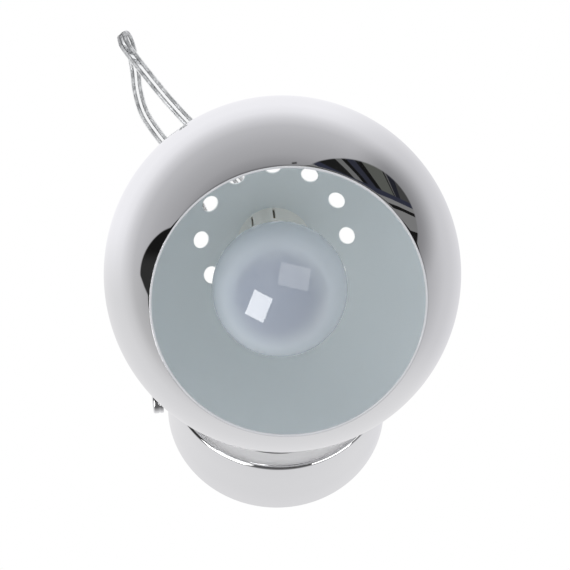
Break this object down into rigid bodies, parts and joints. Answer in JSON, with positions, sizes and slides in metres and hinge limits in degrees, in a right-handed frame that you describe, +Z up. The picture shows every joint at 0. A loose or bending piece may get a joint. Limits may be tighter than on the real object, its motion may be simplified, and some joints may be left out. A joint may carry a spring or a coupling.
{
  "type": "wall lamp",
  "caption": "Chromed ball reading sconce on a round wall drum; the ball shade swivels and tilts on a magnet stem, with a push switch and a looped clear flex.",
  "frame": {"origin": "centre of the drum's back, in the plane of the wall", "axes": "+Y out of the back into the wall, +Z up, +X to the right as seen from the room"},
  "size_m": [0.16, 0.2297, 0.2539],
  "materials": {
    "chromed_steel": "bright chrome on spun steel; the shade's inside is lacquered white",
    "grey_steel": "satin nickel on pressed steel",
    "plated_steel": "zinc plated",
    "holder_metal": "aged nickel on thin sheet",
    "brass": "bare brass",
    "black_plastic": "moulded, satin",
    "cap_glass": "black glass",
    "white_plastic": "moulded, satin",
    "porcelain": "glazed insulator",
    "rubber": "moulded",
    "ferrite": "sintered, matt dark grey",
    "spring_steel": "drawn wire",
    "clear_flex": "clear insulation over tinned strands",
    "core_insulation": "thin insulation",
    "frosted_glass": "inside frosted",
    "clear_glass": "clear",
    "cap_metal": "rolled thread"
  },
  "bodies": {
    "base": {"drum_shell": "chromed_steel", "front_plate": "grey_steel", "wall_plate": "plated_steel", "drum_screws": "plated_steel", "entry_grommet": "rubber", "pedestal_stem": "chromed_steel", "stem_washer": "plated_steel", "stem_nut": "brass", "pivot_screw": "plated_steel", "terminal_block": "white_plastic", "block_screw": "plated_steel", "terminal_screws": "brass", "inner_leads": "core_insulation", "switch_body": "black_plastic", "switch_bushing": "chromed_steel", "switch_nut": "plated_steel", "switch_spring": "spring_steel", "drum_cord_bush": "black_plastic", "cord_bush_nut": "black_plastic", "flex_cord": "clear_flex"},
    "magnet_carrier": {"magnet_cup": "chromed_steel", "ring_magnet": "ferrite", "contact_pad": "white_plastic"},
    "head": {"shade_shell": "chromed_steel", "ball_strain_relief": "black_plastic", "holder_nipple": "brass", "nipple_nut": "brass", "lock_washer": "plated_steel", "holder_cap": "holder_metal", "holder_skirt": "holder_metal", "holder_insulator": "porcelain", "holder_screws": "brass", "holder_leads": "core_insulation", "thread_sleeve": "brass", "centre_contact": "brass", "bulb_glass": "frosted_glass", "bulb_screw_cap": "cap_metal", "bulb_vitrite": "cap_glass", "bulb_contact": "cap_metal", "bulb_stem": "clear_glass", "bulb_filament": "spring_steel"},
    "switch_button": {"switch_button": "chromed_steel"}
  },
  "joints": [
    {"name": "head_swivel", "type": "hinge", "parent": "base", "child": "magnet_carrier", "pos_m": [0, -0.151, 0], "axis": [0, -1, 0], "range_deg": [-75, 75], "deforming": ["flex_cord"]},
    {"name": "head_tilt", "type": "hinge", "parent": "magnet_carrier", "child": "head", "pos_m": [0, -0.151, 0], "axis": [0.9981, 0, 0.061], "range_deg": [-17, 41], "deforming": ["flex_cord"]},
    {"name": "switch_press", "type": "slide", "parent": "base", "child": "switch_button", "axis": [0.9925, 0, 0.1219], "range_m": [0, 0.0014], "stiffness_N_per_m": 900, "springref_m": -0.002, "deforming": ["switch_spring"]}
  ]
}
